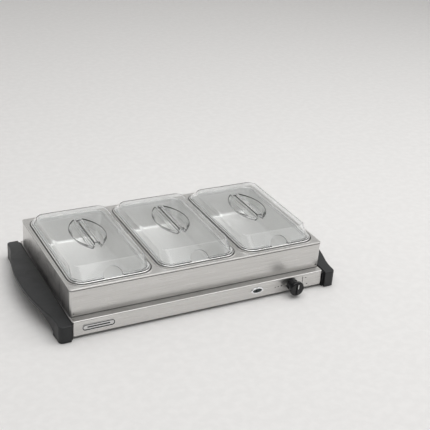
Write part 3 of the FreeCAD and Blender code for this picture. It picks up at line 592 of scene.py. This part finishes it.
FINISHES = {
    "brushed_stainless": Steel("frame_steel"),
    "pan_stainless": Steel("pan_steel", (0.84, 0.84, 0.83), (0.77, 0.77, 0.76), Brush.PRESSED,
                           low_gloss=0.44, high_gloss=0.52, relief=0.000002, smudges=0.02, dust=0.02),
    # Glossier copy of the pan steel for the rolled bead; its brighter colour is a painted highlight.
    "bead_polish": Steel("bead_polish", (0.93, 0.93, 0.92), (0.88, 0.88, 0.87), Brush.PRESSED,
                         low_gloss=0.10, high_gloss=0.16, relief=0.000001, smudges=0.03, dust=0.02),
    "galvanised_steel": Steel("galvanised_sheet", (0.58, 0.60, 0.61), (0.42, 0.44, 0.45), Brush.PRESSED,
                              low_gloss=0.35, high_gloss=0.5, relief=0.00002, smudges=0.1, dust=0.1),
    "zinc_screws": Steel("zinc_plate", (0.68, 0.67, 0.62), (0.52, 0.52, 0.50), Brush.PRESSED,
                         low_gloss=0.25, high_gloss=0.4),
    "chrome_trim": Steel("chrome", (0.90, 0.91, 0.92), (0.80, 0.81, 0.83), Brush.PRESSED,
                         low_gloss=0.05, high_gloss=0.12, relief=0.000002, smudges=0.05, dust=0.02),
    "aluminium_plate": Steel("aluminium", (0.80, 0.80, 0.81), (0.68, 0.68, 0.69), Brush.ALONG_X,
                             low_gloss=0.3, high_gloss=0.45),
    "brass_parts": Steel("brass", (0.80, 0.64, 0.33), (0.62, 0.48, 0.22), Brush.PRESSED,
                         low_gloss=0.25, high_gloss=0.4),
    "element_sheath": Steel("element_sheath", (0.30, 0.28, 0.26), (0.15, 0.14, 0.13), Brush.PRESSED,
                            low_gloss=0.45, high_gloss=0.6),
    "mineral_felt": Matte("mineral_felt", (0.76, 0.73, 0.64), (0.86, 0.84, 0.77),
                          gloss=0.9, scale=900.0, relief=0.0002),
    "ceramic": Matte("ceramic", (0.84, 0.82, 0.76), (0.90, 0.88, 0.84), gloss=0.35, scale=400.0),
    "badge_finish": Steel("badge_satin", (0.75, 0.75, 0.75), (0.62, 0.62, 0.62), Brush.ALONG_X,
                          low_gloss=0.3, high_gloss=0.4),
    "black_moulding": Moulding("handle_plastic", (0.008, 0.009, 0.010), (0.026, 0.028, 0.031),
                               gloss=0.42, dust=0.03),
    "black_gloss": Moulding("knob_plastic", (0.004, 0.004, 0.005), (0.016, 0.016, 0.018), gloss=0.16,
                            texture=600.0, relief=0.000004, wear=0.3, dust=0.0, specular=0.4),
    "white_marking": Matte("pointer_white", (0.80, 0.80, 0.79), (0.72, 0.72, 0.71), gloss=0.4),
    # Rubber of the feet, and also the dark finish of the painted shadow bands and rings on the frame.
    "rubber": Moulding("foot_rubber", (0.02, 0.02, 0.02), (0.06, 0.06, 0.06),
                       gloss=0.7, texture=900.0, relief=0.00005),
    "tinted_lens": ClearPlastic("lamp_lens", (0.18, 0.50, 0.60), gloss=0.08),
    "lamp_glass": ClearPlastic("lamp_glass", (0.95, 0.80, 0.66), gloss=0.02),
    "clear_plastic": ClearPlastic("clear_lid"),
    "wire_brown": Moulding("wire_brown", (0.16, 0.07, 0.03), (0.30, 0.15, 0.08), gloss=0.5),
    "wire_black": Moulding("wire_black", (0.02, 0.02, 0.02), (0.07, 0.07, 0.07), gloss=0.5),
    "wire_blue": Moulding("wire_blue", (0.03, 0.09, 0.35), (0.10, 0.20, 0.55), gloss=0.5),
    "wire_green": Moulding("wire_green", (0.08, 0.28, 0.05), (0.45, 0.48, 0.08), gloss=0.5),
}


@dataclass
class Workshop:
    """Makes each finish once and hands it out by name.

    Attributes:
        made: the materials made so far, by finish.
    """

    made: dict[str, bpy.types.Material] = field(default_factory=dict)

    def finish(self, slot: str) -> bpy.types.Material:
        """Gives a finish's material, building it when first asked for.

        Args:
            slot: the record's slot, or the name of a further finish.

        Returns:
            The material.
        """
        if slot not in self.made:
            self.made[slot] = FINISHES[slot].make()
        return self.made[slot]

    def dress(self, node: str) -> None:
        """Gives a carried-over node the finish of its slot.

        Args:
            node: the node's name.
        """
        parts = frame["record"]["subparts"]
        slot = next(part["material_slot"] for part in parts if part["node"] == node)
        data = frame["nodes"][node].data
        data.materials.clear()
        data.materials.append(self.finish(slot))


# ---------------------------------------------------------------- mesh helpers


def rounded_outline(width: float, length: float, radius: float, steps: int) -> Outline:
    """Points round a rounded rectangle about the origin.

    Args:
        width: full size along the first axis.
        length: full size along the second axis.
        radius: corner radius.
        steps: divisions of each corner.

    Returns:
        The points, in order.
    """
    points = []
    corners = ((1, 1, 0.0), (-1, 1, 0.5), (-1, -1, 1.0), (1, -1, 1.5))
    for side_x, side_y, start in corners:
        centre = (side_x * (width / 2 - radius), side_y * (length / 2 - radius))
        for step in range(steps + 1):
            turn = math.pi * (start + 0.5 * step / steps)
            points.append((centre[0] + radius * math.cos(turn), centre[1] + radius * math.sin(turn)))
    return points


@dataclass
class Piece:
    """A visible piece under construction, in millimetres of the row frame.

    Attributes:
        name: the piece's name.
        body: the body it rides on.
        slot: the record's slot it belongs to; not used.
        mesh: its points and faces so far.
    """

    name: str
    body: str
    slot: str
    mesh: bmesh.types.BMesh = field(default_factory=bmesh.new)

    def ring(self, points: Ring) -> list[bmesh.types.BMVert]:
        """Adds a ring of points."""
        return [self.mesh.verts.new(point * MM) for point in points]

    def skin(self, rings: list[Ring], closed: bool = False, caps: bool = False) -> None:
        """Joins rings with faces.

        Args:
            rings: rings of equally many points.
            closed: whether the last ring joins the first again.
            caps: whether the first and last rings are filled.
        """
        made = [self.ring(points) for points in rings]
        pairs = list(zip(made, made[1:]))
        if closed:
            pairs.append((made[-1], made[0]))
        count = len(made[0])
        for lower, upper in pairs:
            for index in range(count):
                after = (index + 1) % count
                self.mesh.faces.new((lower[index], lower[after], upper[after], upper[index]))
        if caps:
            self.mesh.faces.new(made[0][::-1])
            self.mesh.faces.new(made[-1])

    def finish(self, material: bpy.types.Material, smooth: float = 40.0) -> bpy.types.Object:
        """Turns the mesh into a piece that rides on its body.

        Args:
            material: its finish.
            smooth: sharpest turn between faces, in degrees, that is still shaded smooth.

        Returns:
            The piece's object.
        """
        bmesh.ops.recalc_face_normals(self.mesh, faces=self.mesh.faces)
        data = bpy.data.meshes.new(self.name)
        for face in self.mesh.faces:
            face.smooth = True
        for edge in self.mesh.edges:
            if len(edge.link_faces) == 2 and edge.calc_face_angle(0.0) > math.radians(smooth):
                edge.smooth = False
        self.mesh.to_mesh(data)
        self.mesh.free()
        data.materials.append(material)
        piece = bpy.data.objects.new(self.name, data)
        bpy.context.scene.collection.objects.link(piece)
        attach(piece, self.body)
        LOG.info("piece %s on %s, %d faces", self.name, self.body, len(data.polygons))
        return piece


# ---------------------------------------------------------------- sub-assemblies


@dataclass
class WarmingBase:
    """The warming tray: shell, cover, feet, works, front panel fittings and handles.

    Attributes:
        shop: gives the finishes.
        panel_y: outer face of the front panel.
        badge_centre: middle of the badge, across and up.
        badge_size: length and height of the badge.
        end_flat: half the straight stretch at each end of the badge.
        border_section: the border's section, as inset and distance in front of the panel.
        bar_size: length, height and corner radius of the badge's bar.
        bar_section: the bar's section, as inset and distance in front of the panel.
        marks: the dial's marks, as place across, place up, width and height.
        mark_rounding: a mark's corner radius over its smaller size.
        print_thickness: how far the marks stand off the panel.
        print_depth: how far the marks reach into the panel.
    """

    shop: Workshop
    panel_y: float = -155.15
    badge_centre: tuple[float, float] = (-216.7, 20.9)
    badge_size: tuple[float, float] = (64.0, 13.0)
    end_flat: float = 0.1
    border_section: tuple[tuple[float, float], ...] = (
        (0.7, 0.85), (0.7, 1.12), (1.3, 1.2), (2.1, 1.12), (2.1, 0.55), (1.4, 0.5))
    bar_size: tuple[float, float, float] = (44.0, 2.4, 1.1)
    bar_section: tuple[tuple[float, float], ...] = ((0.0, 0.45), (0.0, 0.7), (0.3, 0.85))
    marks: tuple[tuple[float, float, float, float], ...] = (
        (156.5, 20.2, 2.2, 2.2), (163.4, 20.7, 2.6, 2.6), (170.4, 21.2, 3.0, 3.0),
        (219.8, 25.2, 1.1, 14.0), (226.8, 28.4, 3.4, 1.3), (231.0, 13.4, 3.4, 1.3))
    mark_rounding: float = 0.49
    print_thickness: float = 0.12
    print_depth: float = 0.05

    def build(self) -> None:
        """Dresses the base's nodes and adds the front panel's details."""
        for node in frame["record"]["behaviour"]["bodies"]["warming_base"]:
            self.shop.dress(node)
        self.build_badge_border()
        self.build_badge_bar()
        self.build_dial_marks()

    def upright(self, outline: Outline, centre: tuple[float, float], y: float) -> Ring:
        """Stands a plan outline up on the front panel."""
        return [Vector((centre[0] + x, y, centre[1] + z)) for x, z in outline]

    def build_badge_border(self) -> None:
        """Dark enamel line round the pill badge."""
        length, height = self.badge_size
        border = Piece("badge_border", "warming_base", "black_moulding")
        rings = []
        for inset, rise in self.border_section:
            radius = height / 2 - self.end_flat - inset
            outline = rounded_outline(length - 2 * inset, height - 2 * inset, radius, PILL_STEPS)
            rings.append(self.upright(outline, self.badge_centre, self.panel_y - rise))
        border.skin(rings, closed=True)
        border.finish(self.shop.finish("black_moulding"))

    def build_badge_bar(self) -> None:
        """Plain raised bar across the badge's middle."""
        length, height, radius = self.bar_size
        bar = Piece("badge_bar", "warming_base", "black_moulding")
        rings = []
        for inset, rise in self.bar_section:
            outline = rounded_outline(length - 2 * inset, height - 2 * inset, radius - inset, SMALL_STEPS)
            rings.append(self.upright(outline, self.badge_centre, self.panel_y - rise))
        bar.skin(rings, caps=True)
        bar.finish(self.shop.finish("black_moulding"))

    def build_dial_marks(self) -> None:
        """Printed dots and short strokes beside the dial."""
        marks = Piece("dial_marks", "warming_base", "black_gloss")
        near, far = self.panel_y - self.print_thickness, self.panel_y + self.print_depth
        for x, z, width, height in self.marks:
            radius = self.mark_rounding * min(width, height)
            outline = rounded_outline(width, height, radius, SMALL_STEPS)
            rings = [self.upright(outline, (x, z), y) for y in (far, near)]
            marks.skin(rings, caps=True)
        marks.finish(self.shop.finish("black_gloss"))


@dataclass
class ControlKnob:
    """The turning dial with its pointer, clip and shaft.

    Attributes:
        shop: gives the finishes.
    """

    shop: Workshop

    def build(self) -> None:
        """Dresses the knob's nodes."""
        for node in frame["record"]["behaviour"]["bodies"]["control_knob"]:
            self.shop.dress(node)


@dataclass
class BuffetFrame:
    """The lift-off frame, with dark bands of painted shadow under its lip and at its foot, and dark rings
    of painted shadow round the pans.

    Attributes:
        shop: gives the finishes.
        length: outer size across.
        depth: outer size front to back.
        corner: outer corner radius.
        lip_shadow: lower and upper edge of the dark band of painted shadow under the folded lip.
        foot_shadow: lower and upper edge of the dark band of painted shadow at the foot.
        shadow_reach: how far a band lies inside and outside the skirt's face.
        ring_reach: how far the edges of a ring of painted shadow lie outside the pan's rim.
        ring_heights: lower and upper face of a ring of painted shadow.
    """

    shop: Workshop
    length: float = 532.0
    depth: float = 297.0
    corner: float = 5.0
    lip_shadow: tuple[float, float] = (90.6, 91.85)
    foot_shadow: tuple[float, float] = (37.05, 37.95)
    shadow_reach: tuple[float, float] = (-0.3, 0.14)
    ring_reach: tuple[float, float] = (0.35, 2.35)
    ring_heights: tuple[float, float] = (94.4, 94.75)

    def build(self) -> None:
        """Dresses the frame and adds its dark bands and rings of painted shadow."""
        self.shop.dress("buffet_frame")
        self.build_shadow_band("frame_lip_shadow", *self.lip_shadow)
        self.build_shadow_band("frame_foot_shadow", *self.foot_shadow)
        for index, side in enumerate(SIDES):
            self.build_gap_shadow(side, (index - 1) * PAN_PITCH)

    def build_shadow_band(self, name: str, low: float, high: float) -> None:
        """Dark band of painted shadow all round the skirt.

        Args:
            name: the piece's name.
            low: its lower edge.
            high: its upper edge.
        """
        # The band takes the dark rubber finish to stand in for the shade under the lip or at the foot:
        # painted shadow.
        shadow_band = Piece(name, "buffet_frame", "rubber")
        inner, outer = self.shadow_reach
        rings = []
        for proud, z in ((inner, low), (outer, low), (outer, high), (inner, high)):
            length, depth = self.length + 2 * proud, self.depth + 2 * proud
            outline = rounded_outline(length, depth, self.corner + proud, SMALL_STEPS)
            rings.append([Vector((x, y + MIDDLE_Y, z)) for x, y in outline])
        shadow_band.skin(rings, closed=True)
        shadow_band.finish(self.shop.finish("rubber"))

    def build_gap_shadow(self, side: str, centre_x: float) -> None:
        """Dark ring of painted shadow in the gap between a pan's bead and the ridge round its mouth.

        Args:
            side: the pan's name.
            centre_x: the pan's middle.
        """
        # The ring takes the dark rubber finish to stand in for the shade in the gap: painted shadow.
        gap_shadow = Piece("pan_gap_shadow_" + side, "buffet_frame", "rubber")
        width, length, radius = PAN_RIM
        inner, outer = self.ring_reach
        low, high = self.ring_heights
        rings = []
        for proud, z in ((inner, low), (inner, high), (outer, high), (outer, low)):
            outline = rounded_outline(width + 2 * proud, length + 2 * proud, radius + proud, RIM_STEPS)
            rings.append([Vector((centre_x + x, y + MIDDLE_Y, z)) for x, y in outline])
        gap_shadow.skin(rings, closed=True)
        gap_shadow.finish(self.shop.finish("rubber"))


@dataclass
class Pan:
    """A deep drawn pan with a rolled bead round its rim.

    A section's stations give the inset from the rim's outer edge, and the height.

    Attributes:
        shop: gives the finishes.
        side: the pan's place in the row.
        centre_x: the pan's middle, across.
        floor_insets: the floor's rings, from the middle outwards.
        floor_z: the floor's upper face.
        wall_foot: inset of the wall where the bend meets it.
        bend: inner radius between floor and wall.
        wall: stations up the wall, above the bend.
        shoulder: middle of the bend from wall to flange.
        shoulder_radius: radius of that bend.
        flange: station on the flange, beside the bead.
        bead_centre: middle of the rolled bead.
        roll_radius: outer radius of the rolled sheet.
        bead_radius: radius of the glossier skin on the bead, whose brighter colour is a painted
            highlight.
        bead_steps: sides of that skin.
        underside: stations from the bead down the outside to the middle of the floor.
        corner_loss: what a corner's radius loses for each millimetre of inset.
        least_corner: smallest corner radius.
    """

    shop: Workshop
    side: str
    centre_x: float
    floor_insets: tuple[float, ...] = (60.0, 24.0, 22.0, 20.2)
    floor_z: float = 39.0
    wall_foot: float = 12.1
    bend: float = 7.5
    wall: tuple[tuple[float, float], ...] = ((9.6, 70.0), (7.3, 92.5))
    shoulder: tuple[float, float] = (4.7, 94.3)
    shoulder_radius: float = 2.4
    flange: tuple[float, float] = (2.7, 96.7)
    bead_centre: tuple[float, float] = (0.95, 96.1)
    roll_radius: float = 1.22
    bead_radius: float = 1.32
    bead_steps: int = 14
    underside: tuple[tuple[float, float], ...] = (
        (2.9, 95.9), (4.6, 95.9), (6.6, 93.9), (8.0, 92.5), (10.4, 70.0), (12.9, 46.0),
        (14.6, 41.2), (19.5, 38.2), (22.0, 38.2), (24.0, 38.2), (60.0, 38.2))
    corner_loss: float = 0.88
    least_corner: float = 6.0

    def ring(self, inset: float, z: float) -> Ring:
        """Rounded rectangle that lies inside the rim's outer edge.

        Args:
            inset: distance inside the rim's outer edge.
            z: height.

        Returns:
            The rectangle's points.
        """
        width, length, radius = PAN_RIM
        corner = max(radius - self.corner_loss * inset, self.least_corner)
        outline = rounded_outline(width - 2 * inset, length - 2 * inset, corner, RIM_STEPS)
        return [Vector((self.centre_x + x, MIDDLE_Y + y, z)) for x, y in outline]

    def profile(self) -> Outline:
        """Gives the section from the floor's inside over the bead to the floor's underside.

        Returns:
            The section's stations.
        """
        stations = [(inset, self.floor_z) for inset in self.floor_insets]
        for step in range(1, 7):
            turn = 0.5 * math.pi * step / 6
            stations.append((self.wall_foot + self.bend - self.bend * math.sin(turn),
                             self.floor_z + self.bend - self.bend * math.cos(turn)))
        stations += self.wall
        for step in range(1, 6):
            turn = 0.5 * math.pi * step / 5
            stations.append((self.shoulder[0] + self.shoulder_radius * math.cos(turn),
                             self.shoulder[1] + self.shoulder_radius * math.sin(turn)))
        stations.append(self.flange)
        for step in range(11):
            turn = math.pi * (0.80 - 1.35 * step / 10)
            stations.append((self.bead_centre[0] - self.roll_radius * math.cos(turn),
                             self.bead_centre[1] + self.roll_radius * math.sin(turn)))
        return [*stations, *self.underside]

    def build(self) -> None:
        """Builds the pan's skin in place of the pan's plain solid."""
        name = "pan_" + self.side
        self.shop.dress(name)
        pan = Piece(name + "_pressing", name, "pan_stainless")
        pan.skin([self.ring(inset, z) for inset, z in self.profile()], caps=True)
        piece = pan.finish(self.shop.finish("pan_stainless"), smooth=60.0)
        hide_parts(name)
        self.build_bead(name)

    def build_bead(self, name: str) -> None:
        """Covers the rolled bead with its own glossier skin; the skin's brighter colour is a painted
        highlight.

        Args:
            name: the pan's body.
        """
        bead = Piece(name + "_bead", name, "pan_stainless")
        inset, height = self.bead_centre
        rings = []
        for step in range(self.bead_steps):
            turn = 2 * math.pi * step / self.bead_steps
            rings.append(self.ring(inset + self.bead_radius * math.cos(turn),
                                   height + self.bead_radius * math.sin(turn)))
        bead.skin(rings, closed=True)
        # Glossier steel than the pan's, with a brighter colour that is a painted highlight.
        bead.finish(self.shop.finish("bead_polish"))


@dataclass
class Lid:
    """A clear lid with finger wells, a fin and a spoon notch.

    Attributes:
        shop: gives the finishes.
        side: the lid's place in the row.
    """

    shop: Workshop
    side: str

    def build(self) -> None:
        """Dresses the lid's node."""
        self.shop.dress("lid_" + self.side)


# ---------------------------------------------------------------- studio


@dataclass(frozen=True)
class Lamp:
    """A soft area lamp that faces the object.

    Attributes:
        name: the lamp's name.
        place: position in metres.
        width: size across.
        depth: size along.
        power: watts.
    """

    name: str
    place: tuple[float, float, float]
    width: float
    depth: float
    power: float

    def hang(self) -> None:
        """Adds the lamp to the scene."""
        data = bpy.data.lights.new(self.name, "AREA")
        data.shape = "RECTANGLE"
        data.size, data.size_y, data.energy = self.width, self.depth, self.power
        lamp = bpy.data.objects.new(self.name, data)
        lamp.location = self.place
        lamp.rotation_euler = (-Vector(self.place)).to_track_quat("-Z", "Y").to_euler()
        bpy.context.scene.collection.objects.link(lamp)


LAMPS = (
    Lamp("top_lamp", (0.2, -0.2, 2.6), width=3.4, depth=2.8, power=50.0),
    Lamp("side_lamp", (2.4, -0.7, 1.8), width=2.6, depth=2.0, power=20.0),
    Lamp("left_lamp", (-2.2, 0.9, 1.3), width=1.4, depth=1.0, power=2.5),
)


@dataclass
class Studio:
    """Pale floor, soft lamps, room light and camera.

    Attributes:
        turn: the camera's direction round the object, from the front.
        height: the camera's angle above the floor.
        tilt: the camera's roll.
        distance: from the aim to the camera, in metres.
        across: shift of the view to the right, in metres.
        above: shift of the view upwards, in metres.
        lens: focal length in millimetres.
        sensor: sensor width in millimetres.
        aim_shift: the aim's place, in metres.
        floor_radius: of the floor, in metres.
        overhead: strength of the light from above.
        backdrop: strength of the light from behind the object.
        horizon: strength of the light high above the horizon, and at it.
    """

    turn: float = math.radians(-28.67)
    height: float = math.radians(26.45)
    tilt: float = math.radians(4.10)
    distance: float = 1.913
    across: float = 0.0942
    above: float = 0.1102
    lens: float = 77.3
    sensor: float = 36.0
    aim_shift: tuple[float, float, float] = (0.0, 0.00995, 0.0065)
    floor_radius: float = 40.0
    overhead: float = 0.52
    backdrop: float = 0.48
    horizon: tuple[float, float] = (0.03, 0.55)

    def build(self) -> None:
        """Makes the floor, the surroundings, the lamps and the camera."""
        self.build_floor()
        self.build_surroundings()
        for lamp in LAMPS:
            lamp.hang()
        self.build_camera()

    def build_floor(self) -> None:
        """Wide floor disc with a faint paper texture."""
        mesh = bmesh.new()
        bmesh.ops.create_circle(mesh, cap_ends=True, segments=128, radius=self.floor_radius)
        data = bpy.data.meshes.new("floor")
        mesh.to_mesh(data)
        mesh.free()
        floor = bpy.data.objects.new("floor", data)
        floor.location.z = CAD_BOX[0].z
        bpy.context.scene.collection.objects.link(floor)
        paper = Matte("floor_paper", (0.80, 0.79, 0.78), (0.83, 0.82, 0.81),
                      gloss=0.85, scale=60.0, relief=0.00002)
        data.materials.append(paper.make())

    def build_surroundings(self) -> None:
        """Soft room light, dimmer to the left, with a pale backdrop and a pale horizon."""
        world = bpy.data.worlds.new("room")
        bpy.context.scene.world = world
        world.use_nodes = True
        tree = world.node_tree
        tree.nodes.clear()
        sketch = Sketch(tree)
        place = sketch.add("TexCoord").outputs["Generated"]
        split = sketch.add("SeparateXYZ")
        sketch.feed(place, split.inputs[0])
        side = sketch.spread(split.outputs["X"], -0.7, 0.6, 0.4, 1.0)
        lift = sketch.spread(split.outputs["Z"], 0.25, 0.9, 0.22, 1.0)
        overhead = sketch.sum("MULTIPLY", side, lift)
        behind = sketch.spread(split.outputs["Y"], 0.25, 0.85, 0.0, self.backdrop)
        low = sketch.spread(split.outputs["Z"], 0.85, 0.35, 0.0, 1.0)
        backdrop = sketch.sum("MULTIPLY", behind, low)
        background = sketch.add("Background")
        background.inputs["Color"].default_value = (1.0, 0.99, 0.975, 1.0)
        strength = sketch.sum("ADD", sketch.sum("MULTIPLY", overhead, self.overhead), backdrop)
        horizon = sketch.spread(split.outputs["Z"], 0.30, 0.04, *self.horizon)
        sketch.feed(sketch.sum("ADD", strength, horizon), background.inputs["Strength"])
        output = sketch.add("OutputWorld")
        sketch.feed(background.outputs["Background"], output.inputs["Surface"])

    def build_camera(self) -> None:
        """Camera at the front left, looking down."""
        sin_turn, cos_turn = math.sin(self.turn), math.cos(self.turn)
        sin_height, cos_height = math.sin(self.height), math.cos(self.height)
        back = Vector((sin_turn * cos_height, -cos_turn * cos_height, sin_height))
        level = Vector((0, 0, 1)).cross(back).normalized()
        upright = back.cross(level)
        right = level * math.cos(self.tilt) + upright * math.sin(self.tilt)
        up = upright * math.cos(self.tilt) - level * math.sin(self.tilt)
        place = back * self.distance + right * self.across + up * self.above
        place += Vector(self.aim_shift)
        data = bpy.data.cameras.new("camera")
        data.lens, data.sensor_width = self.lens, self.sensor
        camera = bpy.data.objects.new("camera", data)
        turn = Matrix((right, up, back)).transposed().to_4x4()
        camera.matrix_world = Matrix.Translation(place) @ turn
        bpy.context.scene.collection.objects.link(camera)
        bpy.context.scene.camera = camera


def main() -> None:
    """Builds the scene, sub-assembly by sub-assembly."""
    logging.basicConfig(level=logging.INFO, format="%(message)s")
    bpy.context.scene.view_settings.view_transform = "Standard"
    make_shared_effects()
    shop = Workshop()
    WarmingBase(shop).build()
    ControlKnob(shop).build()
    BuffetFrame(shop).build()
    for index, side in enumerate(SIDES):
        Pan(shop, side, (index - 1) * PAN_PITCH).build()
        Lid(shop, side).build()
    Studio().build()


if __name__ == "__main__":
    main()
